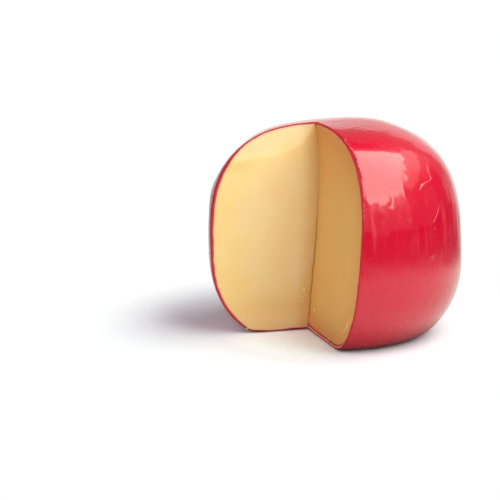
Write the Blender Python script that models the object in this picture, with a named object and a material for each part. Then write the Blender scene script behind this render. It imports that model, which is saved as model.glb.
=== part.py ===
"""A waxed ball cheese with one upright quarter cut out of it, modelled as the one solid it is.

Metres, +Z up. The ball rests on the flat spot under it, in the plane z = 0, with the middle of its widest
ring above the origin. -Y is its front, and the cut opens towards the front left (-X, -Y).
"""

import math

import bmesh
import bpy
from mathutils import Vector

# The whole ball: a squarish round that has settled under its own weight.
BALL_RADIUS = 0.070  # of the widest ring
RING_HEIGHT = 0.0485  # of the widest ring above the base
RISE = 0.069  # from the widest ring up to the top
DROP = 0.058  # from the widest ring down to where the round underside would close
UPPER_SQUARENESS = 2.85  # exponent of the outline: 2 is an ellipse, more is squarer
LOWER_SQUARENESS = 2.5
LEAN = Vector((-0.012, -0.027))  # how far the axis leans towards X and Y for each unit of height

# Broad swells left by pressing and waxing: azimuth from +X towards +Y and elevation, in degrees, and
# how far the skin stands out there.
SWELLS = (
    (30, 66, 0.0018),
    (-15, -48, 0.0014),
    (100, 20, 0.0010),
    (160, -30, 0.0012),
    (215, 35, 0.0008),
)
SWELL_SPREAD = 0.07  # 1 - cos(angle) at which a swell has sunk to 37%

# The cut: two upright faces that meet in one line just beside the axis, right through the ball.
CUT_LINE_X = -0.009
CUT_LINE_Y = 0.0
LEFT_FACE_ANGLE = math.radians(-75.5)  # both from -Y, positive towards +X
RIGHT_FACE_ANGLE = math.radians(18.1)
RIGHT_FACE_BOW = math.radians(-1.7)  # added to the right face's angle at mid height
# The knife wandered sideways on its way down: height, and the cut line's offset in X there.
WANDER = ((0.0, -0.0052), (0.040, -0.0021), (0.080, 0.0), (0.118, -0.0019))

MERIDIANS = 88
PARALLELS = 47
CUTTER_REACH = 0.20  # length of the cutter's faces, from the cut line outwards
CUTTER_OVERRUN = 0.012  # above the top and below the base
CUTTER_ROWS = 16


def material(name, colour, roughness):
    """A Principled material with one colour and roughness."""
    made = bpy.data.materials.new(name)
    made.use_nodes = True
    shader = made.node_tree.nodes["Principled BSDF"]
    shader.inputs["Base Color"].default_value = (*colour, 1.0)
    shader.inputs["Roughness"].default_value = roughness
    shader.inputs["Metallic"].default_value = 0.0
    made.diffuse_color = (*colour, 1.0)
    return made


def direction(azimuth, elevation):
    """The unit vector at these angles, in degrees."""
    around, up = math.radians(azimuth), math.radians(elevation)
    return Vector((math.cos(up) * math.cos(around), math.cos(up) * math.sin(around), math.sin(up)))


def swelling(towards):
    """How far the swells push the skin out in this direction."""
    return sum(
        height * math.exp((towards.dot(direction(azimuth, elevation)) - 1.0) / SWELL_SPREAD)
        for azimuth, elevation, height in SWELLS
    )


def skin_point(towards):
    """The point of the uncut skin in this direction from the middle of the widest ring."""
    above = towards.z >= 0.0
    squareness = UPPER_SQUARENESS if above else LOWER_SQUARENESS
    half_height = RISE if above else DROP
    across = math.hypot(towards.x, towards.y) / BALL_RADIUS
    along = abs(towards.z) / half_height
    reach = (across**squareness + along**squareness) ** (-1.0 / squareness)
    point = towards * reach * (1.0 + swelling(towards) / BALL_RADIUS)
    return Vector((point.x + LEAN.x * point.z, point.y + LEAN.y * point.z, point.z + RING_HEIGHT))


def whole_ball(name, skin):
    """The uncut ball, with its flat base at z = 0."""
    shape = bmesh.new()
    bmesh.ops.create_uvsphere(shape, u_segments=MERIDIANS, v_segments=PARALLELS, radius=1.0)
    for vertex in shape.verts:
        vertex.co = skin_point(vertex.co.normalized())
    everything = shape.verts[:] + shape.edges[:] + shape.faces[:]
    cut = bmesh.ops.bisect_plane(
        shape, geom=everything, plane_co=(0, 0, 0), plane_no=(0, 0, 1), clear_inner=True
    )
    rim = [item for item in cut["geom_cut"] if isinstance(item, bmesh.types.BMEdge)]
    bmesh.ops.contextual_create(shape, geom=rim)
    bmesh.ops.recalc_face_normals(shape, faces=shape.faces)
    return mesh_object(name, shape, skin)


def mesh_object(name, shape, surface):
    """Turns a bmesh into an object with one material, shaded smooth."""
    mesh = bpy.data.meshes.new(name)
    shape.to_mesh(mesh)
    shape.free()
    mesh.materials.append(surface)
    mesh.shade_smooth()
    mesh.set_sharp_from_angle(angle=math.radians(40))
    made = bpy.data.objects.new(name, mesh)
    bpy.context.scene.collection.objects.link(made)
    return made


def wander(height):
    """The cut line's offset in X at this height: the cubic through the points of WANDER."""
    total = 0.0
    for at, offset in WANDER:
        for other, _ in WANDER:
            if other != at:
                offset *= (height - other) / (at - other)
        total += offset
    return total


def cut_section(height):
    """The cutter's outline at this height: the cut line, then the far ends of the two faces."""
    share = min(max(height / (RING_HEIGHT + RISE), 0.0), 1.0)
    bow = RIGHT_FACE_BOW * 4.0 * share * (1.0 - share)
    line = Vector((CUT_LINE_X + wander(height), CUT_LINE_Y, height))
    ends = [
        line + CUTTER_REACH * Vector((math.sin(angle), -math.cos(angle), 0.0))
        for angle in (LEFT_FACE_ANGLE, RIGHT_FACE_ANGLE + bow)
    ]
    return [line, *ends]


def quarter_cutter(name, paste):
    """The wedge of space that the knife took out, a little taller than the ball."""
    shape = bmesh.new()
    lowest, highest = -CUTTER_OVERRUN, RING_HEIGHT + RISE + CUTTER_OVERRUN
    rows = []
    for row in range(CUTTER_ROWS + 1):
        height = lowest + (highest - lowest) * row / CUTTER_ROWS
        rows.append([shape.verts.new(corner) for corner in cut_section(height)])
    for lower, upper in zip(rows, rows[1:]):
        for corner in range(3):
            following = (corner + 1) % 3
            shape.faces.new((lower[corner], lower[following], upper[following], upper[corner]))
    shape.faces.new(rows[0][::-1])
    shape.faces.new(rows[-1])
    bmesh.ops.recalc_face_normals(shape, faces=shape.faces)
    cutter = mesh_object(name, shape, paste)
    cutter.hide_render = True
    cutter.display_type = "WIRE"
    return cutter


def main():
    for old in list(bpy.data.objects):
        bpy.data.objects.remove(old, do_unlink=True)
    wax = material("red_wax", (0.62, 0.012, 0.045), 0.28)
    paste = material("cheese_paste", (0.72, 0.46, 0.16), 0.5)
    ball = whole_ball("cheese_ball", wax)
    cut = ball.modifiers.new("quarter_cut", "BOOLEAN")
    cut.operation = "DIFFERENCE"
    cut.solver = "EXACT"
    cut.material_mode = "TRANSFER"
    cut.object = quarter_cutter("quarter_space", paste)


main()
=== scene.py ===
"""Looks of the cut ball cheese: a cheese body with two knife-cut faces, its red wax coat, the wax's ridges
and nicks, and a few crumbs.

Metres, in the frame of the CAD solid. Every surface is laid out in half planes that turn round the cut
line: "share" goes from 0 at the right cut face, round the right side and the back, to 1 at the left cut
face, and inside one half plane a point has its distance across from the cut line and its height.
"""

import math

import bmesh
import bpy
import numpy as np
from mathutils import Matrix, Vector
from mathutils.bvhtree import BVHTree

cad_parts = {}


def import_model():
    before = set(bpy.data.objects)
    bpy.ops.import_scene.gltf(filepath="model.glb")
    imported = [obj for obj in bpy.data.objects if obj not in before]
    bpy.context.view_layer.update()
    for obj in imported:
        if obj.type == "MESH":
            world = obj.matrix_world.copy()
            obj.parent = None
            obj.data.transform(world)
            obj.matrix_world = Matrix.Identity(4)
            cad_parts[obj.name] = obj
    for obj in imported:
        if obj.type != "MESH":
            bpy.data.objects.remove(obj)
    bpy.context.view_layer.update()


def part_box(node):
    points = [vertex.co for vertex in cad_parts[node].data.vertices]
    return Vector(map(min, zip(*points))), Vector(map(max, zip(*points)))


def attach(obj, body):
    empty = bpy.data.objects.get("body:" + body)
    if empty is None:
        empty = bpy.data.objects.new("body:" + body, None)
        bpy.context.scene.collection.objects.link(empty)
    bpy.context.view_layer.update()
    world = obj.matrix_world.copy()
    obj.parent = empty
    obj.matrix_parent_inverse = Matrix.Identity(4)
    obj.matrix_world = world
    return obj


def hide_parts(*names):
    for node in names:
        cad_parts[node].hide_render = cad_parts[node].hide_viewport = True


MM = 0.001
NODE = "cheese_ball"

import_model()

# ---------------------------------------------------------------- the ball, as the CAD solid has it
node_low, node_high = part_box(NODE)
BALL_RADIUS = 0.4996 * (node_high[0] - node_low[0])
RING_HEIGHT = 0.4093 * node_high[2]
RISE = 0.5823 * node_high[2]
DROP = 0.4895 * node_high[2]
UPPER_SQUARENESS = 2.85
LOWER_SQUARENESS = 2.5
LEAN_X = -0.012
LEAN_Y = -0.027
SWELLS = (  # azimuth from +X towards +Y and elevation in degrees, height
    (30, 66, 1.8 * MM),
    (-15, -48, 1.4 * MM),
    (100, 20, 1.0 * MM),
    (160, -30, 1.2 * MM),
    (215, 35, 0.8 * MM),
)
SWELL_SPREAD = 0.07
BASE_CREASE = 3.0 * MM  # rounding between the flat base and the side

CUT_LINE_X = -9.0 * MM
CUT_LINE_Y = 0.0
RIGHT_FACE_ANGLE = math.radians(18.1)  # from -Y, positive towards +X
LEFT_FACE_ANGLE = math.radians(360.0 - 75.5)
RIGHT_FACE_BOW = math.radians(-1.7)
WANDER = ((0.0, -5.2 * MM), (40 * MM, -2.1 * MM), (80 * MM, 0.0), (118 * MM, -1.9 * MM))

WAX_THICKNESS = 1.35 * MM
WAX_OVERLAP = 0.08 * MM  # how far the cheese's hidden skin reaches into the wax


def smooth_step(low, high, value):
    """0 below low, 1 above high, and a smooth rise between them."""
    t = np.clip((value - low) / (high - low), 0.0, 1.0)
    return t * t * (3.0 - 2.0 * t)


def bell(value, width):
    """1 at 0, falling to 37% at the width."""
    return np.exp(-((value / width) ** 2))


def wave_noise(points, size, seed, count=14):
    """Smooth unevenness from -1 to 1 or so: sine waves of about this length, in all directions."""
    rng = np.random.default_rng(seed)
    total = np.zeros(points.shape[:-1])
    for _ in range(count):
        direction = rng.normal(size=3)
        direction *= rng.uniform(0.7, 1.4) / (size * np.linalg.norm(direction))
        total += np.sin(2 * math.pi * (points @ direction) + rng.uniform(0, 2 * math.pi))
    return total * math.sqrt(2.0 / count) * 0.5


def swelling(towards):
    total = np.zeros(towards.shape[:-1])
    for azimuth, elevation, height in SWELLS:
        around, up = math.radians(azimuth), math.radians(elevation)
        axis = np.array([math.cos(up) * math.cos(around), math.cos(up) * math.sin(around), math.sin(up)])
        total += height * np.exp((towards @ axis - 1.0) / SWELL_SPREAD)
    return total


def skin_gap(points):
    """How far the points lie outside the uncut skin, negative inside. It is exact only at the skin."""
    above = points[..., 2] - RING_HEIGHT
    upright = np.stack([points[..., 0] - LEAN_X * above, points[..., 1] - LEAN_Y * above, above], -1)
    distance = np.linalg.norm(upright, axis=-1) + 1e-12
    towards = upright / distance[..., None]
    squareness = np.where(above >= 0, UPPER_SQUARENESS, LOWER_SQUARENESS)
    half_height = np.where(above >= 0, RISE, DROP)
    across = np.hypot(towards[..., 0], towards[..., 1]) / BALL_RADIUS
    along = np.abs(towards[..., 2]) / half_height
    reach = (across**squareness + along**squareness) ** (-1.0 / squareness)
    side = distance - reach * (1.0 + swelling(towards) / BALL_RADIUS)
    base = -points[..., 2]
    blend = np.maximum(BASE_CREASE - np.abs(side - base), 0.0) / BASE_CREASE
    return np.maximum(side, base) + blend**2 * BASE_CREASE / 4.0


def wander(height):
    """The cut line's offset in X at this height: a cubic through WANDER."""
    total = np.zeros_like(height)
    for at, offset in WANDER:
        term = np.full_like(height, offset)
        for other, _ in WANDER:
            if other != at:
                term = term * (height - other) / (at - other)
        total += term
    return total


def shakes(across, height):
    """The knife's small shakes, which show only at the cut line."""
    both = 0.16 * np.sin(height / (2.1 * MM) + 1.0) + 0.12 * np.sin(height / (1.15 * MM))
    return both * MM * smooth_step(95 * MM, 60 * MM, height) * bell(across, 1.6 * MM)


def face_angle(share, height):
    """The half plane's angle from -Y towards +X."""
    level = np.clip(height / (RING_HEIGHT + RISE), 0.0, 1.0)
    right = RIGHT_FACE_ANGLE + RIGHT_FACE_BOW * 4.0 * level * (1.0 - level)
    return right + (LEFT_FACE_ANGLE - right) * share


def place(share, across, height):
    """The point in space at this share, distance across and height."""
    angle = face_angle(share, height)
    x = CUT_LINE_X + wander(height) + shakes(across, height) + across * np.sin(angle)
    y = CUT_LINE_Y - across * np.cos(angle)
    return np.stack([x, y, height], -1)


def into_cut(share, height):
    """The unit vector from this half plane towards smaller shares: out of the right cut face."""
    angle = face_angle(share, height)
    return np.stack([-np.cos(angle), -np.sin(angle), np.zeros_like(angle)], -1)


def profile(share, elevation):
    """Where rays at these elevations, from the cut line at the widest ring, meet the uncut skin: the
    distance across and the height."""
    near = np.zeros(np.broadcast(share, elevation).shape)
    far = np.full_like(near, 2.0 * BALL_RADIUS)
    for _ in range(30):
        middle = (near + far) / 2.0
        across = middle * np.cos(elevation)
        height = RING_HEIGHT + middle * np.sin(elevation)
        inside = skin_gap(place(share, across, height)) < 0.0
        near = np.where(inside, middle, near)
        far = np.where(inside, far, middle)
    return near * np.cos(elevation), RING_HEIGHT + near * np.sin(elevation)


def outward(across, height):
    """Unit normals, in the half planes, of profiles whose last index runs from the base to the top."""
    along_across = np.gradient(across, axis=-1)
    along_height = np.gradient(height, axis=-1)
    length = np.hypot(along_across, along_height) + 1e-12
    return along_height / length, -along_across / length


def wax_thickness(share, across, height):
    """The coat is thin over the top, and thicker under the ball, most of all where it folded under the
    right face."""
    under = smooth_step(7 * MM, 1 * MM, height)
    over = smooth_step(96 * MM, 108 * MM, height)
    by_right_face = smooth_step(0.03, 0.0, share)
    by_cut_line = bell(across, 9 * MM)
    points = place(share, across, height)
    uneven = 0.16 * wave_noise(points, 9 * MM, seed=4)
    thicker = under * (1.30 * by_right_face - 0.40 + 0.45 * by_cut_line)
    return WAX_THICKNESS * (1.0 + uneven * (1.0 - 0.6 * over) + thicker - over * (0.5 + 0.08 * by_right_face))


# ---------------------------------------------------------------- meshes
def make_object(name, vertices, faces, material, values=None, sides=None):
    """A smooth-shaded object. values holds named numbers, one for each vertex, that its material reads, and
    sides a number for each polygon, read as "face"."""
    mesh = bpy.data.meshes.new(name)
    mesh.from_pydata(vertices.tolist(), [], [tuple(face) for face in faces])
    for key, numbers in (values or {}).items():
        mesh.attributes.new(key, "FLOAT", "POINT").data.foreach_set("value", numbers.astype(np.float32))
    if sides is not None:
        mesh.attributes.new("face", "FLOAT", "FACE").data.foreach_set("value", sides.astype(np.float32))
    mesh.materials.append(material)
    made = bpy.data.objects.new(name, mesh)
    bpy.context.scene.collection.objects.link(made)
    shape = bmesh.new()
    shape.from_mesh(mesh)
    bmesh.ops.remove_doubles(shape, verts=shape.verts, dist=1e-7)
    bmesh.ops.dissolve_degenerate(shape, edges=shape.edges, dist=1e-8)
    bmesh.ops.recalc_face_normals(shape, faces=shape.faces)
    shape.to_mesh(mesh)
    shape.free()
    mesh.shade_smooth()
    mesh.set_sharp_from_angle(angle=math.radians(50))
    return made


def grid_faces(rows, columns, first=0):
    """The quads of a grid whose vertices are numbered row by row from first."""
    corner = first + np.arange(rows - 1)[:, None] * columns + np.arange(columns - 1)[None, :]
    corner = corner.reshape(-1)
    return np.stack([corner, corner + 1, corner + columns + 1, corner + columns], -1).tolist()


def join_grids(grids):
    """One vertex array and one face list from several (rows, columns, 3) grids."""
    vertices, faces, first = [], [], 0
    for grid in grids:
        rows, columns = grid.shape[:2]
        vertices.append(grid.reshape(-1, 3))
        faces += grid_faces(rows, columns, first)
        first += rows * columns
    return np.concatenate(vertices), faces


BASE_EDGE_ELEVATION = -47.0
SHOULDER_ELEVATION = 50.0


def crowded(count, crowding):
    """Numbers from 0 to 1 that crowd towards both ends."""
    even = np.linspace(0.0, 1.0, count)
    return even - crowding * np.sin(2.0 * math.pi * even) / (2.0 * math.pi)


def elevations(base_rows, side_rows, top_rows):
    """Ray elevations from the base's middle to the top's, closest together up the side."""
    base = np.linspace(-90.0, BASE_EDGE_ELEVATION, base_rows, endpoint=False)
    side = np.linspace(BASE_EDGE_ELEVATION, SHOULDER_ELEVATION, side_rows, endpoint=False)
    top = np.linspace(SHOULDER_ELEVATION, 90.0, top_rows)
    return np.radians(np.concatenate([base, side, top]))


# ---------------------------------------------------------------- wax
WAX_COLUMNS = 372
WAX_ROWS = (32, 154, 42)  # under the ball, up its side and over its top
WAX_CROWDING = 0.72
HIDDEN_COLUMNS = 25
RIM_STEPS = 13
RUNS = (  # azimuth in degrees, lower end, length, half width, height: the runs that show most
    (11.5, 83.5 * MM, 24 * MM, 1.5 * MM, 0.20 * MM),
    (17.6, 78.0 * MM, 26 * MM, 1.6 * MM, 0.24 * MM),
    (21.8, 84.0 * MM, 20 * MM, 1.2 * MM, 0.16 * MM),
    (12.2, 62.0 * MM, 14 * MM, 0.7 * MM, 0.10 * MM),
    (15.6, 58.0 * MM, 16 * MM, 0.6 * MM, 0.09 * MM),
    (20.8, 61.0 * MM, 13 * MM, 0.7 * MM, 0.10 * MM),
    (25.8, 58.0 * MM, 17 * MM, 0.8 * MM, 0.10 * MM),
    (31.0, 84.0 * MM, 14 * MM, 1.1 * MM, 0.12 * MM),
    (35.5, 78.0 * MM, 18 * MM, 1.3 * MM, 0.12 * MM),
)
RANDOM_RUNS = 84
RIGHT_ROLL = (  # height, and how wide the knife rolled the coat over at the right cut face there
    (58 * MM, 0.3 * MM),
    (80 * MM, 0.7 * MM),
    (87 * MM, 1.0 * MM),
    (94 * MM, 1.3 * MM),
    (103 * MM, 2.0 * MM),
    (109 * MM, 2.2 * MM),
    (118 * MM, 1.5 * MM),
)
LEFT_ROLL = ((4 * MM, 0.9 * MM), (40 * MM, 1.1 * MM), (90 * MM, 1.3 * MM), (112 * MM, 1.6 * MM), (118 * MM, 1.3 * MM))
ROLL_STEEPNESS = 0.22
LEFT_ROLL_STEEPNESS = 0.22
STREAK_WIDTH = 1.5 * MM
STREAK_HEIGHT = 0.018 * MM
PATCH_HEIGHT = 0.048 * MM
COAT_SWELLS = (  # azimuth from +X towards +Y and elevation in degrees, height, and spread in degrees
    (-4, -17, 1.0 * MM, 24),
    (5, 20, -0.5 * MM, 10),
    (19, 56, -0.7 * MM, 9),
    (168, 43, -1.5 * MM, 11),
    (174, 24, 0.9 * MM, 6),
)
DENT = ((45.9, 25.4 * MM), (50.5, 27.3 * MM))  # azimuth and height of its ends
FOLD_DEPTH = 0.35 * MM


def arc_from(azimuth_at, azimuth):
    """Distance along the widest ring, from one azimuth to another."""
    return np.angle(np.exp(1j * (azimuth - azimuth_at))) * BALL_RADIUS


def wax_runs(points, azimuth):
    """Runs that the hot wax left as it flowed down the side: low ridges that swell to round lower ends."""
    rng = np.random.default_rng(11)
    runs = [(math.radians(spot), *rest) for spot, *rest in RUNS]
    for spot in np.linspace(math.radians(39), math.radians(372), RANDOM_RUNS):
        middle = spot + rng.uniform(-0.03, 0.03)
        lower_end = rng.uniform(50, 88) * MM
        length = rng.uniform(12, 30) * MM
        half_width = rng.uniform(0.7, 1.7) * MM
        runs.append((middle, lower_end, length, half_width, half_width * rng.uniform(0.06, 0.13)))
    total = np.zeros(points.shape[:-1])
    for middle, lower_end, length, half_width, height in runs:
        aside = arc_from(middle, azimuth) + 0.25 * half_width * np.sin(points[..., 2] / (3.1 * MM) + 40 * middle)
        up = points[..., 2] - lower_end
        swell = 0.30 + 0.70 * bell(up, 7 * MM)
        along = smooth_step(-0.8 * half_width, 0.8 * half_width, up) * smooth_step(length, 0.5 * length, up)
        total += height * bell(aside, half_width) * along * swell
    return total


def coat_swells(points):
    """Where the coat is fuller or flatter than the solid's skin."""
    towards = points - np.array([0.0, 0.0, RING_HEIGHT])
    towards = towards / (np.linalg.norm(towards, axis=-1, keepdims=True) + 1e-12)
    total = np.zeros(points.shape[:-1])
    for azimuth, elevation, height, spread in COAT_SWELLS:
        around, up = math.radians(azimuth), math.radians(elevation)
        axis = np.array([math.cos(up) * math.cos(around), math.cos(up) * math.sin(around), math.sin(up)])
        away = np.degrees(np.arccos(np.clip(towards @ axis, -1.0, 1.0)))
        total += height * bell(away, spread)
    return total


def wax_streaks(points):
    """Fine upright streaks down the side, and shallow patches a few millimetres across."""
    height = points[..., 2]
    upright = points * np.array([1.0, 1.0, 0.08])
    band = smooth_step(44 * MM, 60 * MM, height) * smooth_step(98 * MM, 80 * MM, height)
    lower_ends = smooth_step(-0.5, 0.5, wave_noise(upright, 6 * MM, seed=31) + (height - 56 * MM) / (9 * MM))
    streaks = STREAK_HEIGHT * wave_noise(upright, STREAK_WIDTH, seed=32) * band * lower_ends
    streaks += 3.0 * STREAK_HEIGHT * wave_noise(upright, 3.2 * STREAK_WIDTH, seed=33) * band
    patchy = smooth_step(-0.3, 0.6, wave_noise(points, 24 * MM, seed=34))
    patchy = patchy * (0.25 + 0.75 * smooth_step(62 * MM, 80 * MM, height))
    stretched = points * np.array([1.0, 1.0, 0.55])
    return streaks + PATCH_HEIGHT * wave_noise(stretched, 5.5 * MM, seed=35) * patchy


def dent(azimuth, height):
    (first_azimuth, first_height), (last_azimuth, last_height) = DENT
    first = math.radians(first_azimuth)
    span = (math.radians(last_azimuth) - first) * BALL_RADIUS
    rise = last_height - first_height
    x = arc_from(first, azimuth)
    y = height - first_height
    along = np.clip((x * span + y * rise) / (span**2 + rise**2), 0.0, 1.0)
    away = np.hypot(x - along * span, y - along * rise)
    return -0.30 * MM * bell(away, 0.8 * MM) + 0.10 * MM * bell(away - 1.7 * MM, 0.8 * MM)


def rolled_edges(points, share, across):
    """How far the knife pushed the coat down at both cuts, and from 0 to 1 how much it dulled it there. That
    share also darkens the wax there, as painted shade.
    """
    arc = across * (LEFT_FACE_ANGLE - RIGHT_FACE_ANGLE)
    pushed, dulled = 0.0, 0.0
    for from_cut, roll, steepness, dull in ((arc * share, RIGHT_ROLL, ROLL_STEEPNESS, 1.0),
                                            (arc * (1.0 - share), LEFT_ROLL, LEFT_ROLL_STEEPNESS, 2.4)):
        heights, widths = zip(*roll)
        width = np.interp(points[..., 2], heights, widths) * (1.0 + 0.16 * wave_noise(points, 5 * MM, seed=3))
        width = np.maximum(width, 0.1 * MM)
        pushed = pushed + steepness * width * np.clip(1.0 - from_cut / width, 0.0, 1.0) ** 2
        dulled = dulled + smooth_step(1.05 * dull * width, 0.8 * dull * width, from_cut)
    return pushed, dulled


def wax_relief(points, share, across):
    """How far the coat stands out from the CAD skin."""
    height = points[..., 2]
    azimuth = np.arctan2(points[..., 0], -points[..., 1])
    slow = 0.20 * wave_noise(points, 44 * MM, seed=1)
    medium = 0.035 * wave_noise(points, 13 * MM, seed=2)
    side = smooth_step(0.0, 8 * MM, height)
    relief = (slow + medium) * MM * side + wax_runs(points, azimuth) + dent(azimuth, height)
    relief += (wax_streaks(points) + coat_swells(points)) * side
    relief -= rolled_edges(points, share, across)[0]
    return relief


def rim_bulge(across_rim, points, share_value):
    """How far the cut end of the coat stands out, across it from the outside, 0, to the cheese, 1. Under
    the ball it is creased in two, most of all at the right face."""
    plain = 0.10 * np.sin(math.pi * across_rim) * (0.5 + wave_noise(points, 1.8 * MM, seed=7))
    under = smooth_step(6 * MM, 1.5 * MM, points[..., 2]) * (1.0 if share_value == 0.0 else 0.55)
    wander_rim = across_rim + 0.12 * wave_noise(points, 4 * MM, seed=8)
    crease = 1.1 * bell(wander_rim - 0.28, 0.16) - 0.9 * bell(wander_rim - 0.52, 0.12)
    crease += 0.8 * bell(wander_rim - 0.76, 0.12)
    crumpled = 0.6 * wave_noise(points, 1.3 * MM, seed=9)
    edge = np.sin(math.pi * across_rim)
    return plain * MM + under * (FOLD_DEPTH * crease + 0.12 * MM * crumpled) * edge


def left_edge_share(elevation):
    """The share at which the left face, leaned back above its crease, really cuts the coat."""
    across, height = profile(np.ones((1, 1)), elevation)
    set_back = -left_face_relief(across, height, np.zeros_like(across)) * smooth_step(0.0, 3 * MM, across)
    return 1.0 - set_back / (np.maximum(across, 1 * MM) * (LEFT_FACE_ANGLE - RIGHT_FACE_ANGLE))


def wax_coat(material):
    elevation = elevations(*WAX_ROWS)[None, :]
    share = crowded(WAX_COLUMNS, WAX_CROWDING)[:, None] * left_edge_share(elevation)
    across, height = profile(share, elevation)
    normal_across, normal_height = outward(across, height)
    points = place(share, across, height)
    relief = wax_relief(points, share, across)
    dulled = rolled_edges(points, share, across)[1]
    relief[:, [0, -1]] = relief[:, [0, -1]].mean(axis=0)
    outer = place(share, across + normal_across * relief, height + normal_height * relief)

    picked = np.unique(np.round(np.linspace(0, WAX_COLUMNS - 1, HIDDEN_COLUMNS)).astype(int))
    depth = wax_thickness(share, across, height)[picked]
    sunk = np.minimum(relief[picked], 0.0)
    inner = place(
        share[picked],
        across[picked] - normal_across[picked] * (depth - 0.7 * sunk),
        height[picked] - normal_height[picked] * (depth - 0.7 * sunk),
    )
    rims = []
    for column, hidden, sign in ((0, 0, 1.0), (-1, -1, -1.0)):
        proud = (0.12 + 0.07 * wave_noise(outer[column], 3.6 * MM, seed=6)) * MM
        push = into_cut(share[column], height[column]) * sign
        outer[column] += push * proud[:, None]
        inner[hidden] += push * proud[:, None]
        across_rim = np.linspace(0.0, 1.0, RIM_STEPS)[:, None]
        rim = outer[column][None] * (1.0 - across_rim[..., None]) + inner[hidden][None] * across_rim[..., None]
        bulge = rim_bulge(np.broadcast_to(across_rim, rim.shape[:-1]), rim, share[column][0])
        rims.append(rim + push[None] * bulge[..., None])
    vertices, faces = join_grids([outer, inner, *rims])
    cut = [dulled.reshape(-1), np.zeros(inner.size // 3)]
    for rim in rims:
        cut.append(np.repeat(1.0 + np.linspace(0.0, 1.0, RIM_STEPS), rim.shape[1]))
    return make_object("wax_coat", vertices, faces, material, {"cut": np.concatenate(cut)})


# ---------------------------------------------------------------- small raised things
LINE_STEP = 0.25 * MM
LINE_SIDES = 10


def smooth_line(knots, step=LINE_STEP):
    """Points about this far apart on a smooth curve through the knots, and where along it they are, 0 to 1."""
    knots = np.array(knots, float)
    padded = np.concatenate([2 * knots[:1] - knots[1:2], knots, 2 * knots[-1:] - knots[-2:-1]])
    points = []
    for a, b, c, d in zip(padded[:-3], padded[1:-2], padded[2:-1], padded[3:]):
        count = max(2, int(np.linalg.norm(c[:3] - b[:3]) / step))
        for t in np.linspace(0.0, 1.0, count, endpoint=False):
            points.append(0.5 * ((2 * b) + (c - a) * t + (2 * a - 5 * b + 4 * c - d) * t**2
                                 + (3 * b - a - 3 * c + d) * t**3))
    points.append(knots[-1])
    points = np.array(points)
    length = np.concatenate([[0.0], np.cumsum(np.linalg.norm(np.diff(points[:, :3], axis=0), axis=1))])
    return points, length / length[-1]


def raised_line(points, normals, half_widths, heights):
    """A half-buried thread along the points: its vertices and faces. It closes to a point at both ends."""
    along = np.gradient(points, axis=0)
    along /= np.linalg.norm(along, axis=1, keepdims=True) + 1e-12
    aside = np.cross(normals, along)
    aside /= np.linalg.norm(aside, axis=1, keepdims=True) + 1e-12
    angle = np.linspace(0.0, 2.0 * math.pi, LINE_SIDES, endpoint=False)
    ring = aside[:, None] * (np.cos(angle)[None, :] * half_widths[:, None])[..., None]
    ring += normals[:, None] * (np.sin(angle)[None, :] * heights[:, None])[..., None]
    rings = points[:, None] + ring
    count = len(points)
    vertices = np.concatenate([rings.reshape(-1, 3), points[:1], points[-1:]])
    faces = []
    for i in range(count - 1):
        for j in range(LINE_SIDES):
            k = (j + 1) % LINE_SIDES
            faces.append((i * LINE_SIDES + j, i * LINE_SIDES + k, (i + 1) * LINE_SIDES + k, (i + 1) * LINE_SIDES + j))
    for j in range(LINE_SIDES):
        k = (j + 1) % LINE_SIDES
        faces.append((count * LINE_SIDES, k, j))
        faces.append((count * LINE_SIDES + 1, (count - 1) * LINE_SIDES + j, (count - 1) * LINE_SIDES + k))
    return vertices, faces


def lump(center, normal, size, seed):
    """An uneven grain: size is its half lengths along, across and out of the surface."""
    shape = bmesh.new()
    bmesh.ops.create_icosphere(shape, subdivisions=3, radius=1.0)
    points = np.array([vertex.co[:] for vertex in shape.verts])
    faces = [tuple(vertex.index for vertex in face.verts) for face in shape.faces]
    shape.free()
    points *= 1.0 + 0.22 * wave_noise(points, 1.5, seed)[:, None] + 0.10 * wave_noise(points, 0.6, seed + 1)[:, None]
    normal = np.array(normal) / np.linalg.norm(normal)
    up = np.array([0.0, 0.0, 1.0]) if abs(normal[2]) < 0.9 else np.array([1.0, 0.0, 0.0])
    aside = np.cross(up, normal)
    aside /= np.linalg.norm(aside)
    up = np.cross(normal, aside)
    turn = 2.4 * seed
    first = math.cos(turn) * aside + math.sin(turn) * up
    second = -math.sin(turn) * aside + math.cos(turn) * up
    scaled = points * np.array(size)
    return np.array(center) + scaled[:, :1] * first + scaled[:, 1:2] * second + scaled[:, 2:] * normal, faces


def joined(pieces):
    vertices, faces, first = [], [], 0
    for points, polygons in pieces:
        vertices.append(points)
        faces += [tuple(first + index for index in polygon) for polygon in polygons]
        first += len(points)
    return np.concatenate(vertices), faces


def surface_of(made):
    graph = bpy.context.evaluated_depsgraph_get()
    return BVHTree.FromObject(made, graph)


def on_skin(tree, azimuth, height):
    """The point and normal of the coat at this azimuth, in degrees from -Y towards +X, and height."""
    angle = math.radians(azimuth)
    outwards = Vector((math.sin(angle), -math.cos(angle), 0.0))
    start = outwards * 3 * BALL_RADIUS + Vector((0, 0, height))
    place_hit, normal, _, _ = tree.ray_cast(start, -outwards)
    return np.array(place_hit), np.array(normal)


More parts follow.
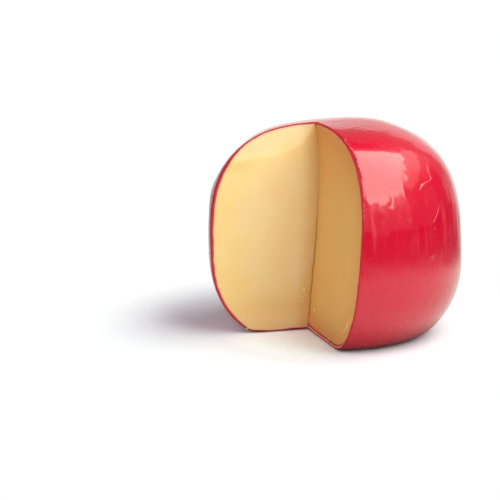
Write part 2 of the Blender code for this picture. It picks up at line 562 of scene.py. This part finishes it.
RIDGES = (  # knots of azimuth in degrees, height in mm and half width in mm, then the height of the ridge
    (((53.9, 100.2, 0.35), (53.2, 98.2, 0.75), (52.2, 96.6, 0.70), (51.9, 94.8, 0.40), (51.0, 93.0, 0.50),
      (49.0, 92.2, 0.62), (45.6, 91.4, 1.05), (42.4, 90.3, 1.30), (40.2, 88.8, 0.75)), 0.50),
    (((51.4, 79.8, 0.20), (50.3, 76.6, 0.36), (48.2, 73.8, 0.42), (45.4, 70.8, 0.42)), 0.65),
    (((36.0, 84.5, 0.12), (37.0, 80.5, 0.16), (37.4, 77.0, 0.10)), 0.55),
    (((29.2, 75.2, 0.10), (31.2, 74.8, 0.14), (33.4, 75.3, 0.10)), 0.55),
)
SPECKS = (  # azimuth in degrees, height in mm, size in mm
    (46.8, 67.7, 0.45), (42.6, 65.8, 0.35), (41.2, 64.4, 0.30), (34.8, 69.6, 0.32), (58.5, 63.0, 0.34),
    (45.9, 64.0, 0.30), (12.0, 56.0, 0.28), (24.5, 71.0, 0.26), (63.0, 84.0, 0.26), (38.0, 33.0, 0.30),
)
HIDDEN_RIDGES = 16
HIDDEN_SPECKS = 46


def wax_ridges(coat, material):
    """Threads and specks of wax on the coat, with a ragged lip and nicks along its rolled edge. Their pale
    value paints highlights on them, most of all on the nicks.
    """
    tree = surface_of(coat)
    rng = np.random.default_rng(5)
    pieces, pale = [], []

    def add_line(knots, flatness, glint_paint):
        knots = np.array(knots, float)
        spots, along = smooth_line(np.stack([np.radians(knots[:, 0]) * BALL_RADIUS, knots[:, 1] * MM,
                                             knots[:, 2] * MM], -1))
        found = [on_skin(tree, math.degrees(a / BALL_RADIUS), z) for a, z, _ in spots]
        points, normals = (np.array(part) for part in zip(*found))
        taper = np.sqrt(np.clip(1.0 - (2.0 * along - 1.0) ** 6, 0.0, 1.0))
        half = np.maximum(spots[:, 2], 0.05 * MM) * taper + 1e-6
        piece = raised_line(points, normals, half, flatness * half)
        pieces.append(piece)
        pale.append(np.full(len(piece[0]), glint_paint))

    def add_speck(azimuth, height, size, glint_paint):
        point, normal = on_skin(tree, azimuth, height * MM)
        stretch = rng.uniform(0.7, 1.4)
        piece = lump(point, normal, np.array([size * stretch, size, 0.6 * size]) * MM, int(rng.integers(1, 999)))
        pieces.append(piece)
        pale.append(np.full(len(piece[0]), glint_paint))

    for knots, flatness in RIDGES:
        add_line(knots, flatness, 0.12)
    for azimuth, height, size in SPECKS:
        add_speck(azimuth, height, size, 0.15)
    for _ in range(HIDDEN_RIDGES):
        azimuth, height = rng.uniform(88, 275), rng.uniform(30, 98)
        turn, length, half = rng.uniform(-1.2, 1.2), rng.uniform(4, 11), rng.uniform(0.18, 0.5)
        knots = []
        for t in (-0.5, -0.17, 0.17, 0.5):
            bend = 1.2 * math.sin(3.0 * t + turn)
            knots.append((azimuth + math.degrees((length * t * math.sin(turn) + bend) * MM / BALL_RADIUS),
                          height + length * t * math.cos(turn), half * rng.uniform(0.5, 1.3)))
        add_line(knots, 0.55, 0.12)
    for _ in range(HIDDEN_SPECKS):
        add_speck(rng.uniform(88, 280), rng.uniform(14, 100), rng.uniform(0.2, 0.45), 0.15)

    # The lip along the rolled edge: short ragged lines and nicks, thicker towards the top, with painted glints.
    heights, widths = (np.array(part) for part in zip(*RIGHT_ROLL))
    height = 114.0
    while height > 76.0:
        length = rng.uniform(1.0, 2.6)
        if rng.uniform() < (0.95 if height > 101 else 0.45):
            knots = []
            for t in (0.0, 0.33, 0.66, 1.0):
                z = height - length * t
                width = np.interp(z * MM, heights, widths)
                edge = edge_azimuth(z * MM)
                spot = edge + math.degrees(1.10 * width / BALL_RADIUS) + rng.uniform(-0.55, 0.55)
                thick = (0.36 if z > 97 else 0.15) * rng.uniform(0.3, 1.6)
                knots.append((spot, z, thick))
            add_line(knots, 0.8, rng.uniform(0.6, 1.0))
        height -= length * rng.uniform(0.8, 1.3)
    vertices, faces = joined(pieces)
    return make_object("wax_ridges", vertices, faces, material, {"cut": np.zeros(len(vertices)),
                                                                 "pale": np.concatenate(pale)})


def edge_azimuth(height):
    """The azimuth of the right cut face's outer edge at this height, in degrees."""
    elevation = np.radians(np.linspace(-80, 80, 321))[None, :]
    across, up = profile(np.zeros((1, 1)), elevation)
    reach = np.interp(height, up[0], across[0])
    point = place(np.array([0.0]), np.array([reach]), np.array([height]))[0]
    return math.degrees(math.atan2(point[0], -point[1]))


# ---------------------------------------------------------------- cheese
CHEESE_ROWS = (70, 190, 60)
FACE_STEPS = 100
SLIT_DEPTH = 0.9 * MM
SLIT_WIDTH = 0.35 * MM
HIDDEN_GAP = 2.2 * MM  # how much deeper the cheese's skin lies away from the cuts, clear of the coat's hollows


def over_crease(across, height):
    """How far above the left face's crease, which rises to the cut line."""
    return height - 98.3 * MM - 22 * MM * np.exp(-across / (9 * MM))


def left_face_relief(across, height, rim_gap):
    """The knife rocked: the face's top leans back above a soft crease."""
    above = np.maximum(over_crease(across, height), 0.0)
    softened = above**2 / (above + 1.0 * MM)
    relief = -0.15 * softened
    relief -= 0.12 * MM * np.clip(1.0 - rim_gap / (7 * MM), 0.0, 1.0) ** 2
    points = np.stack([across, height, np.zeros_like(across)], -1)
    relief += 0.16 * MM * wave_noise(points, 38 * MM, seed=21)
    relief += 0.008 * MM * wave_noise(points * np.array([1.0, 0.2, 1.0]), 5 * MM, seed=22)
    return relief


def right_face_relief(across, height, rim_gap):
    points = np.stack([across, height, np.full_like(across, 0.3)], -1)
    relief = 0.16 * MM * wave_noise(points, 48 * MM, seed=23)
    relief += 0.006 * MM * wave_noise(points * np.array([1.0, 0.2, 1.0]), 5 * MM, seed=24)
    relief -= 0.10 * MM * np.clip(1.0 - rim_gap / (4 * MM), 0.0, 1.0) ** 2
    return relief


def cheese_profile(share, elevation):
    """The cheese's own skin, just inside the wax at the cuts and deeper where nothing shows it."""
    across, height = profile(share, elevation)
    normal_across, normal_height = outward(across, height)
    depth = wax_thickness(np.broadcast_to(share, across.shape), across, height) - WAX_OVERLAP
    depth += HIDDEN_GAP * smooth_step(0.0, 0.04, share) * smooth_step(1.0, 0.96, share)
    return np.maximum(across - normal_across * depth, 0.0), height - normal_height * depth


def cut_face(share_value, edge_across, edge_height, relief_of, sign):
    """One knife-cut face, as a fan of rows from the cut line's middle out to the edge."""
    steps = np.linspace(0.0, 1.0, FACE_STEPS)[:, None]
    across = steps * edge_across[None, :]
    height = RING_HEIGHT + steps * (edge_height[None, :] - RING_HEIGHT)
    rim_gap = (1.0 - steps) * np.hypot(edge_across, edge_height - RING_HEIGHT)[None, :]
    share = np.full_like(across, share_value)
    grid = place(share, across, height)
    relief = relief_of(across, height, rim_gap) * smooth_step(0.0, 3 * MM, across)
    grid += into_cut(share, height) * (sign * relief)[..., None]
    middle = (RIGHT_FACE_ANGLE + LEFT_FACE_ANGLE - 2 * math.pi) / 2.0
    into_corner = np.array([-math.sin(middle), math.cos(middle), 0.0])
    inside = smooth_step(0.0, 2 * MM, height) * smooth_step(node_high[2] - 1 * MM, node_high[2] - 4 * MM, height)
    inside *= smooth_step(86 * MM, 48 * MM, height) * 0.8 + 0.2
    grid += into_corner * (SLIT_DEPTH * bell(across, SLIT_WIDTH) * inside)[..., None]
    return grid, {"across": across, "up": height, "rim_gap": rim_gap, "over": over_crease(across, height)}


def cheese_body(material):
    elevation = elevations(*CHEESE_ROWS)[None, :]
    share = np.linspace(0.0, 1.0, HIDDEN_COLUMNS)[:, None]
    across, height = cheese_profile(share, elevation)
    across[:, [0, -1]] = 0.0
    height[:, [0, -1]] = height[:, [0, -1]].mean(axis=0)
    right, right_values = cut_face(0.0, across[0], height[0], right_face_relief, 1.0)
    left, left_values = cut_face(1.0, across[-1], height[-1], left_face_relief, -1.0)
    outer = place(np.broadcast_to(share, across.shape), across, height)
    outer[0] = right[-1]
    outer[-1] = left[-1]
    vertices, faces = join_grids([outer, right, left])
    skin = {"across": across, "up": height, "rim_gap": np.zeros_like(across), "over": over_crease(across, height)}
    values = {}
    for key in skin:
        values[key] = np.concatenate([part[key].reshape(-1) for part in (skin, right_values, left_values)])
    counts = [(grid.shape[0] - 1) * (grid.shape[1] - 1) for grid in (outer, right, left)]
    return make_object("cheese", vertices, faces, material, values, np.repeat([0.0, 1.0, 2.0], counts))


LEFT_CRUMBS = (  # distance from the cut line, height and size in mm
    (4.1, 22.9, 0.95), (4.0, 20.9, 0.55), (4.4, 18.9, 0.95), (5.2, 16.4, 0.50), (2.9, 19.6, 0.40),
    (3.4, 30.5, 0.40), (2.2, 26.0, 0.35), (1.9, 13.0, 0.45), (21.0, 2.6, 0.55), (36.0, 2.4, 0.50), (9.0, 3.0, 0.5),
)
RIGHT_CRUMBS = (
    (8.2, 12.9, 0.80), (2.6, 21.0, 0.35), (1.8, 33.0, 0.30), (33.0, 2.9, 0.45),
)
SHREDS = (  # the face, knots of distance from the cut line and height in mm, half width in mm
    (1.0, ((18.0, 43.4), (19.1, 41.4), (20.5, 38.8)), 0.22),
    (1.0, ((21.8, 36.9), (22.7, 35.2), (23.7, 33.1)), 0.20),
    (0.0, ((53.6, 12.4), (56.0, 14.0), (58.6, 17.2), (60.2, 21.0)), 0.30),
    (1.0, ((30.0, 3.2), (33.0, 2.7), (37.0, 2.9)), 0.30),
)


def crumbs(body, material):
    """Grains and shreds of cheese that the knife left on the cut faces, most of them by the inner corner."""
    tree = surface_of(body)
    pieces = []
    for share, spots in ((1.0, LEFT_CRUMBS), (0.0, RIGHT_CRUMBS)):
        for seed, (across, height, size) in enumerate(spots):
            point, normal = on_face(tree, share, across * MM, height * MM)
            pieces.append(lump(point, normal, np.array([1.15, 0.75, 0.6]) * size * MM, 31 + seed))
    for share, knots, half_width in SHREDS:
        flat = np.array([(across * MM, height * MM, 0.0) for across, height in knots])
        spots, along = smooth_line(flat)
        found = [on_face(tree, share, across, height) for across, height, _ in spots]
        points, normals = (np.array(part) for part in zip(*found))
        taper = np.sqrt(np.clip(1.0 - (2.0 * along - 1.0) ** 4, 0.0, 1.0)) + 0.02
        uneven = 1.0 + 0.35 * wave_noise(points, 1.2 * MM, seed=61)
        half = half_width * MM * taper * uneven
        pieces.append(raised_line(points, normals, half, 0.6 * half))
    vertices, faces = joined(pieces)
    count = len(vertices)
    values = {"across": 40 * MM, "up": 60 * MM, "rim_gap": 30 * MM, "over": -40 * MM}
    values = {key: np.full(count, value) for key, value in values.items()}
    return make_object("crumbs", vertices, faces, material, values, np.full(len(faces), 2.0))


def on_face(tree, share, across, height):
    """The point and normal of a cut face at this distance from the cut line and height."""
    flat = [np.array([value]) for value in (share, across, height)]
    point = place(*flat)[0]
    normal = into_cut(flat[0], flat[2])[0] * (1.0 if share == 0.0 else -1.0)
    hit, _, _, _ = tree.ray_cast(Vector(point + normal * 4 * MM), Vector(-normal))
    return (np.array(hit) if hit is not None else point), normal


# ---------------------------------------------------------------- materials
def new_material(name):
    material = bpy.data.materials.new(name)
    material.use_nodes = True
    return material, material.node_tree, material.node_tree.nodes["Principled BSDF"]


def add_node(tree, kind, inputs=None, **settings):
    """Adds a node. An input is given by name or number, and is a value or another node's output."""
    made = tree.nodes.new(kind)
    for key, value in settings.items():
        setattr(made, key, value)
    for key, value in (inputs or {}).items():
        if isinstance(value, bpy.types.NodeSocket):
            tree.links.new(value, made.inputs[key])
        else:
            made.inputs[key].default_value = value
    return made


def fade(tree, value, low, high, start=0.0, end=1.0):
    """A smooth change from start to end as the value goes from low to high."""
    made = add_node(tree, "ShaderNodeMapRange", {"From Min": low, "From Max": high, "To Min": start, "To Max": end},
                    interpolation_type="SMOOTHSTEP")
    tree.links.new(value, made.inputs["Value"])
    return made.outputs[0]


def wax_material():
    """Glossy red wax: a soft sheen under a clear, sharper one. It is duller and darker where it was cut, and
    duller on its rolled edges, which are darker as painted shade. Painted shade darkens the folds under the
    ball and a painted highlight lightens the ridge between the right face's two; pale smears paint reflection
    streaks below the highlight, and painted glints make its thin threads, specks and nicks paler."""
    material, tree, shader = new_material("red_wax")
    where = add_node(tree, "ShaderNodeTexCoord").outputs["Object"]
    upright = add_node(tree, "ShaderNodeVectorMath", {0: where, 1: (1.0, 1.0, 0.12)}, operation="MULTIPLY").outputs[0]
    cut = attribute(tree, "cut")
    pale = attribute(tree, "pale")
    mottle = add_node(tree, "ShaderNodeTexNoise", {"Vector": where, "Scale": 45.0, "Detail": 3.0}).outputs["Fac"]
    shade = mix_colors(tree, fade(tree, mottle, 0.3, 0.7), color(WAX_RED), color(WAX_DEEP_RED))
    level = add_node(tree, "ShaderNodeSeparateXYZ", {0: where}).outputs["Z"]
    streak_space = add_node(tree, "ShaderNodeVectorMath", {0: where, 1: (1.0, 1.0, 0.06)}, operation="MULTIPLY").outputs[0]
    streak_noise = add_node(tree, "ShaderNodeTexNoise", {"Vector": streak_space, "Scale": 330.0, "Detail": 2.0}).outputs["Fac"]
    # painted reflection: pale upright smears in a band below the highlight stand in for streaky reflections
    side = times(tree, fade(tree, level, 50 * MM, 66 * MM), fade(tree, level, 90 * MM, 78 * MM))
    side = times(tree, side, fade(tree, mottle, 0.40, 0.62, 0.25, 1.0))
    shade = mix_colors(tree, times(tree, side, fade(tree, streak_noise, 0.48, 0.72, 0.0, 0.8)), shade, color(WAX_PAINTED_STREAKS))
    # the rolled edges: dulled by the knife, and darker as painted shade
    shade = mix_colors(tree, fade(tree, cut, 0.0, 1.0), shade, color(WAX_ROLLED_DULL_SHADE))
    shade = mix_colors(tree, fade(tree, cut, 1.0, 1.2), shade, color(WAX_CUT))
    shade = mix_colors(tree, fade(tree, cut, 1.3, 1.9), shade, color(WAX_BY_CHEESE))
    # painted shade: the rims are darker low under the ball, in their folds
    under = times(tree, fade(tree, level, 8 * MM, 3 * MM), fade(tree, cut, 1.02, 1.10))
    shade = mix_colors(tree, under, shade, color(WAX_FOLD_SHADE))
    # painted highlight along the ridge between the right face's two folds
    middle = times(tree, fade(tree, cut, 1.22, 1.45), fade(tree, cut, 1.80, 1.60))
    aside = add_node(tree, "ShaderNodeSeparateXYZ", {0: where}).outputs["X"]
    middle = times(tree, under, middle, fade(tree, aside, -16.5 * MM, -14.5 * MM))
    shade = mix_colors(tree, middle, shade, color(WAX_FOLD_HIGHLIGHT))
    # painted glints: the threads, specks and nicks are made paler
    shade = mix_colors(tree, pale, shade, color(WAX_PAINTED_GLINT))
    tree.links.new(shade, shader.inputs["Base Color"])
    streaks = add_node(tree, "ShaderNodeTexNoise", {"Vector": upright, "Scale": 420.0, "Detail": 2.0}).outputs["Fac"]
    rough = fade(tree, streaks, 0.3, 0.7, 0.22, 0.30)
    dull = fade(tree, cut, 0.2, 1.0, 0.0, 0.28)
    rough = add_node(tree, "ShaderNodeMath", {0: rough, 1: dull}, operation="ADD").outputs[0]
    tree.links.new(rough, shader.inputs["Roughness"])
    shader.inputs["IOR"].default_value = 1.33
    tree.links.new(fade(tree, cut, 0.2, 1.0, 0.80, 0.06), shader.inputs["Coat Weight"])
    shader.inputs["Coat Roughness"].default_value = 0.07
    shader.inputs["Coat IOR"].default_value = 1.50
    fine = add_node(tree, "ShaderNodeTexNoise", {"Vector": where, "Scale": 700.0, "Detail": 3.0}).outputs["Fac"]
    lines = add_node(tree, "ShaderNodeTexNoise", {"Vector": upright, "Scale": 900.0, "Detail": 1.0}).outputs["Fac"]
    grain = add_node(tree, "ShaderNodeMath", {0: fine, 1: lines}, operation="ADD").outputs[0]
    bump = add_node(tree, "ShaderNodeBump", {"Height": grain, "Strength": 0.02, "Distance": 0.00015})
    tree.links.new(bump.outputs["Normal"], shader.inputs["Normal"])
    tree.links.new(bump.outputs["Normal"], shader.inputs["Coat Normal"])
    return material


WAX_RED = (0.60, 0.0035, 0.028)
WAX_DEEP_RED = (0.58, 0.0020, 0.024)
WAX_PAINTED_STREAKS = (0.70, 0.045, 0.070)  # pale upright smears below the highlight: painted reflection streaks
# rolled edges: darker as painted shade
WAX_ROLLED_DULL_SHADE = (0.42, 0.004, 0.020)
WAX_CUT = (0.50, 0.022, 0.026)
WAX_BY_CHEESE = (0.62, 0.090, 0.070)
# painted glints on thin threads, specks and nicks
WAX_PAINTED_GLINT = (0.80, 0.13, 0.13)
WAX_FOLD_SHADE = (0.34, 0.030, 0.022)  # painted shade in the rims' folds under the ball; the next, painted highlight on the ridge between the right face's two folds
WAX_FOLD_HIGHLIGHT = (0.80, 0.26, 0.17)
LEFT_PASTE = (0.88, 0.65, 0.332)
LEFT_YELLOW = (0.88, 0.585, 0.235)
# the right face: a darker, more orange copy of the left face's paste, as painted shade and bounce light
RIGHT_SHADED_PASTE = (0.745, 0.406, 0.117)
RIGHT_SHADED_YELLOW = (0.735, 0.388, 0.107)
# painted red bounce light from the wax along the cut faces' rims
LEFT_RIM_BOUNCE = (0.90, 0.42, 0.28)
RIGHT_RIM_BOUNCE = (0.78, 0.26, 0.115)


def color(rgb):
    return (*rgb, 1.0)


def mix_colors(tree, share, first, second):
    made = add_node(tree, "ShaderNodeMix", data_type="RGBA")
    for socket, value in ((0, share), (6, first), (7, second)):
        if isinstance(value, bpy.types.NodeSocket):
            tree.links.new(value, made.inputs[socket])
        else:
            made.inputs[socket].default_value = value
    return made.outputs[2]


def attribute(tree, name):
    return add_node(tree, "ShaderNodeAttribute", attribute_name=name).outputs["Fac"]


def tint(tree, share, shade, rgb):
    """The shade, multiplied by this colour as far as share says."""
    made = add_node(tree, "ShaderNodeMix", {0: share, 6: shade, 7: color(rgb)}, data_type="RGBA", blend_type="MULTIPLY")
    return made.outputs[2]


def left_paste(tree, across, up, gap, over, mottle):
    """Pale cream, yellower towards the rind below the crease. Painted shade makes it tan and darker by the cut
    line and towards the base, and darker in a band just below the crease and above the crease; just above
    the base it is paler and bluer, and a line by the rim is painted with red bounce light from the wax.
    """
    below = fade(tree, over, 2 * MM, -3 * MM)
    shade = mix_colors(tree, mottle, color(LEFT_PASTE), color(LEFT_YELLOW))
    shade = tint(tree, times(tree, below, fade(tree, gap, 6 * MM, 27 * MM, 1.0, 0.0)), shade, (1.0, 0.96, 0.80))
    # painted shade in a band just below the crease
    crease_shade = times(tree, fade(tree, over, -9 * MM, -4 * MM), fade(tree, over, 0.5 * MM, -2 * MM))
    crease_shade = times(tree, crease_shade, fade(tree, across, 34 * MM, 44 * MM))
    shade = tint(tree, crease_shade, shade, (0.97, 0.92, 0.86))
    shade = tint(tree, times(tree, fade(tree, over, 1 * MM, 4 * MM), fade(tree, gap, 12 * MM, 3 * MM)), shade,
                 (1.0, 1.0, 1.06))
    # painted shade: darker and tan by the cut line, in the inner corner
    shade = tint(tree, fade(tree, across, 0.0, 11 * MM, 1.0, 0.0), shade, (0.85, 0.73, 0.56))
    # painted shadow: darker towards the base
    shade = tint(tree, fade(tree, up, 8 * MM, 42 * MM, 1.0, 0.0), shade, (1.0, 0.92, 0.86))
    shade = tint(tree, fade(tree, up, 15 * MM, 6 * MM), shade, (1.09, 1.09, 1.28))
    # painted shade: darker above the crease
    shade = tint(tree, fade(tree, over, 0.0, 6 * MM), shade, (0.97, 0.925, 0.96))
    # painted red bounce light from the wax along the rim
    return mix_colors(tree, fade(tree, gap, 0.15 * MM, 1.4 * MM, 0.8, 0.0), shade, color(LEFT_RIM_BOUNCE))


def right_paste(tree, up, gap, mottle):
    """Golden, deeper and more orange towards the rind and the top. The whole face is a darker, more orange
    copy of the left face's paste, as painted shade and bounce light, and a line by the rim is painted with
    red bounce light from the wax.
    """
    # painted shade and bounce light: the whole face is darker and more orange than the left one
    shade = mix_colors(tree, mottle, color(RIGHT_SHADED_PASTE), color(RIGHT_SHADED_YELLOW))
    shade = tint(tree, fade(tree, gap, 2 * MM, 17 * MM, 1.0, 0.0), shade, (0.96, 0.84, 0.84))
    shade = tint(tree, fade(tree, up, 72 * MM, 110 * MM), shade, (0.97, 0.80, 0.68))
    shade = tint(tree, fade(tree, up, 20 * MM, 5 * MM), shade, (1.0, 0.93, 1.0))
    # painted red bounce light from the wax along the rim
    return mix_colors(tree, fade(tree, gap, 0.3 * MM, 2.6 * MM, 0.8, 0.0), shade, color(RIGHT_RIM_BOUNCE))


def cheese_material():
    """Young cheese: pale cream-yellow on the left face, and golden on the right one, whose deeper colour is
    painted shade and bounce light. A thin line by the rim is painted with red bounce light from the wax."""
    material, tree, shader = new_material("cheese_paste")
    where = add_node(tree, "ShaderNodeTexCoord").outputs["Object"]
    on_left = fade(tree, attribute(tree, "face"), 1.4, 1.6)
    across, up, gap, over = (attribute(tree, name) for name in ("across", "up", "rim_gap", "over"))
    broad = add_node(tree, "ShaderNodeTexNoise", {"Vector": where, "Scale": 60.0, "Detail": 2.0}).outputs["Fac"]
    mottle = fade(tree, broad, 0.35, 0.70, 0.0, 0.4)
    left = left_paste(tree, across, up, gap, over, mottle)
    right = right_paste(tree, up, gap, mottle)
    tree.links.new(mix_colors(tree, on_left, right, left), shader.inputs["Base Color"])
    shader.inputs["Roughness"].default_value = 0.5
    shader.inputs["Subsurface Weight"].default_value = 0.3
    shader.inputs["Subsurface Radius"].default_value = (1.0, 0.8, 0.5)
    shader.inputs["Subsurface Scale"].default_value = 0.0012
    fine = add_node(tree, "ShaderNodeTexNoise", {"Vector": where, "Scale": 500.0, "Detail": 3.0})
    bump = add_node(tree, "ShaderNodeBump", {"Height": fine.outputs["Fac"], "Strength": 0.10, "Distance": 0.0003})
    tree.links.new(bump.outputs["Normal"], shader.inputs["Normal"])
    return material


# ---------------------------------------------------------------- studio
FLOOR_SIZE = 3.0
FLOOR_WHITE = 0.72
FLOOR_UNDER = 0.29  # under the ball, where little light comes
FLOOR_DARK = 0.05
FLOOR_SHOWN = (0.95, 0.97, 1.05)  # the camera is exposed and balanced to see the floor white
FLOOR_PAINTED_SHADOW = (0.90, 0.87, 0.88)  # and a little out from the ball it falls to this share of that: a painted shadow
PAINTED_SHADOW_REACH = (0.050, 0.070)
UNDER_BALL = (0.050, 0.074)
LIT_FLOOR = (0.18, 0.29)  # how far out the lit floor starts and ends to fall dark
BACKDROP_FLOOR = (0.15, 0.30)  # how far out the backdrop's light on the floor behind starts and is full
BACKDROP_SIDES = (24.0, 58.0)  # degrees from +Y towards +X where that light starts and ends to fade
BACKDROP_LIGHT = 0.9
SHADOWS = (0.092, 0.150)  # how far out the shadows on it start and end to fade


def times(tree, *levels):
    """The product of these numbers or outputs."""
    product = levels[0]
    for level in levels[1:]:
        product = add_node(tree, "ShaderNodeMath", {0: product, 1: level}, operation="MULTIPLY").outputs[0]
    return product


def sideways(tree, where):
    """The azimuth of a place or direction in degrees, from +Y towards +X."""
    parts = add_node(tree, "ShaderNodeSeparateXYZ", {0: where}).outputs
    side = add_node(tree, "ShaderNodeMath", {0: parts["X"], 1: parts["Y"]}, operation="ARCTAN2").outputs[0]
    return add_node(tree, "ShaderNodeMath", {0: side}, operation="DEGREES").outputs[0]


def floor():
    """A white floor. Away from the cheese only the camera sees it white, so the wax doesn't mirror it all. A
    little out from the ball the camera sees a painted shadow on it.
    """
    material, tree, _ = new_material("pale_floor")
    where = add_node(tree, "ShaderNodeTexCoord").outputs["Object"]
    reach = add_node(tree, "ShaderNodeVectorMath", {0: where}, operation="LENGTH").outputs["Value"]
    path = add_node(tree, "ShaderNodeLightPath").outputs["Is Camera Ray"]
    level = fade(tree, reach, *LIT_FLOOR, FLOOR_WHITE, FLOOR_DARK)
    level = times(tree, level, fade(tree, reach, *UNDER_BALL, FLOOR_UNDER / FLOOR_WHITE, 1.0))
    grey = add_node(tree, "ShaderNodeCombineColor", {"Red": level, "Green": level, "Blue": level}).outputs[0]
    # painted shadow on the floor the camera sees, a little out from the ball
    seen = tint(tree, fade(tree, reach, *PAINTED_SHADOW_REACH), color(FLOOR_SHOWN), FLOOR_PAINTED_SHADOW)
    seen = mix_colors(tree, path, grey, seen)
    matte = add_node(tree, "ShaderNodeBsdfDiffuse", {"Color": seen}).outputs[0]
    side = sideways(tree, where)
    behind = times(tree, fade(tree, side, *BACKDROP_SIDES, 1.0, 0.0), fade(tree, side, -24.0, -6.0, 0.5, 1.0))
    behind = times(tree, behind, fade(tree, side, -110.0, -80.0))
    behind = times(tree, behind, fade(tree, reach, *BACKDROP_FLOOR, 0.0, BACKDROP_LIGHT))
    backdrop = add_node(tree, "ShaderNodeEmission", {"Color": (1, 1, 1, 1), "Strength": behind}).outputs[0]
    lit = add_node(tree, "ShaderNodeAddShader", {0: matte, 1: backdrop}).outputs[0]
    glow = add_node(tree, "ShaderNodeEmission", {"Color": (1, 1, 1, 1), "Strength": 1.02}).outputs[0]
    shown = times(tree, fade(tree, reach, *SHADOWS, 0.0, 1.0), path)
    both = add_node(tree, "ShaderNodeMixShader", {0: shown, 1: lit, 2: glow}).outputs[0]
    tree.links.new(both, tree.nodes["Material Output"].inputs["Surface"])
    half = FLOOR_SIZE
    corners = np.array([[-half, -half, 0], [half, -half, 0], [half, half, 0], [-half, half, 0]], float)
    made = make_object("floor", corners, [(0, 1, 2, 3)], material)
    made.location.z = -0.0002


def area_light(name, toward, distance, width, depth, roll, radiance, color=(1.0, 1.0, 1.0)):
    """A softbox that faces the ball's middle from this azimuth, from -Y towards +X, and elevation. Roll
    turns it in its own plane. All angles are in degrees."""
    azimuth, elevation = math.radians(toward[0]), math.radians(toward[1])
    direction = Vector((math.cos(elevation) * math.sin(azimuth), -math.cos(elevation) * math.cos(azimuth),
                        math.sin(elevation)))
    side = Vector((0, 0, 1)).cross(direction).normalized()
    up = direction.cross(side)
    turn = math.radians(roll)
    x_axis = math.cos(turn) * side + math.sin(turn) * up
    y_axis = direction.cross(x_axis)
    spot = direction * distance + Vector((0, 0, RING_HEIGHT))
    data = bpy.data.lights.new(name, "AREA")
    data.shape = "RECTANGLE"
    data.size, data.size_y = width, depth
    data.energy = radiance * width * depth * math.pi
    data.color = color
    light = bpy.data.objects.new(name, data)
    light.matrix_world = Matrix((x_axis, y_axis, direction)).transposed().to_4x4()
    light.location = spot
    light.visible_camera = False
    bpy.context.scene.collection.objects.link(light)
    return light


WORLD_GLOWS = (  # azimuth from +Y towards +X, and elevation, both spans in degrees, and radiance
    ((-75, -15), (-5, 46), 0.45),
    ((-15, 22), (-5, 9), 1.00),
    ((-15, 40), (9, 50), 0.20),
    ((-15, 6), (9, 20), 0.50),
    ((6, 14), (9, 23), 0.50),
    ((14, 31), (9, 26), 0.50),
    ((22, 31), (-5, 9), 0.66),
    ((31, 50), (-5, 8), 0.38),
    ((40, 50), (8, 27), 0.24),
    ((40, 70), (24, 50), 0.36),
    ((50, 70), (-5, 27), 0.06),
    ((70, 110), (-5, 30), 0.20),
    ((110, 150), (-5, 15), 0.40),
    ((110, 150), (15, 30), 1.00),
    ((150, 185), (-5, 20), 0.65),
    ((-185, -150), (-5, 20), 0.65),
)
GLOW_SOFTNESS = 2.0
WORLD_TINT = (1.0, 0.97, 0.92)


def world():
    """A dim studio with a pale backdrop and a few pale walls. The camera sees it white."""
    scene = bpy.context.scene
    scene.world = bpy.data.worlds.new("studio")
    scene.world.use_nodes = True
    tree = scene.world.node_tree
    tree.nodes.clear()
    where = add_node(tree, "ShaderNodeTexCoord").outputs["Generated"]
    side = sideways(tree, where)
    height = add_node(tree, "ShaderNodeSeparateXYZ", {0: where}).outputs["Z"]
    rise = add_node(tree, "ShaderNodeMath", {0: height}, operation="ARCSINE").outputs[0]
    rise = add_node(tree, "ShaderNodeMath", {0: rise}, operation="DEGREES").outputs[0]
    total = None
    for sides, rises, radiance in WORLD_GLOWS:
        level = radiance
        for value, (low, high) in ((side, sides), (rise, rises)):
            for edge, start, end in ((low, 0.0, 1.0), (high, 1.0, 0.0)):
                step = fade(tree, value, edge - GLOW_SOFTNESS, edge + GLOW_SOFTNESS, start, end)
                level = add_node(tree, "ShaderNodeMath", {0: step, 1: level}, operation="MULTIPLY").outputs[0]
        if total is not None:
            level = add_node(tree, "ShaderNodeMath", {0: total, 1: level}, operation="ADD").outputs[0]
        total = level
    path = add_node(tree, "ShaderNodeLightPath").outputs["Is Camera Ray"]
    seen = add_node(tree, "ShaderNodeMix", {0: path, 2: total, 3: 1.02}, data_type="FLOAT").outputs[0]
    hue = mix_colors(tree, path, color(WORLD_TINT), (1, 1, 1, 1))
    glare = add_node(tree, "ShaderNodeBackground", {"Color": hue, "Strength": seen}).outputs[0]
    output = add_node(tree, "ShaderNodeOutputWorld")
    tree.links.new(glare, output.inputs["Surface"])


def camera():
    data = bpy.data.cameras.new("camera")
    data.lens = 120.0
    data.sensor_width = 36.0
    made = bpy.data.objects.new("camera", data)
    made.location = (-0.0470, -0.9088, 0.2487)
    made.rotation_euler = (math.radians(90.0 - 12.59), 0.0, 0.0)
    bpy.context.scene.collection.objects.link(made)
    bpy.context.scene.camera = made


# ---------------------------------------------------------------- all of it
camera()
world()
floor()
KEY_TINT = (0.91, 1.0, 0.90)
area_light("key_softbox", (60.9, 54.7), 0.7, 1.08, 0.54, 44.6, 4.9, KEY_TINT)
area_light("spill_softbox", (103.2, 39.3), 0.79, 0.70, 0.16, 15.4, 0.95, KEY_TINT)
area_light("front_fill", (-27, 11), 1.5, 1.4, 0.6, 0.0, 1.70)
area_light("left_fill", (-70, 20), 1.5, 1.2, 0.9, 0.0, 1.34)
area_light("upper_fill", (-30, 45), 1.0, 0.6, 0.6, 0.0, 2.1)
bpy.context.scene.view_settings.view_transform = "Standard"

wax = wax_material()
paste = cheese_material()
coat = wax_coat(wax)
body = cheese_body(paste)
for piece, slot in ((coat, "wax"), (wax_ridges(coat, wax), "wax"), (body, "cheese"), (crumbs(body, paste), "cheese")):
    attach(piece, "root")
    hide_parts(NODE)
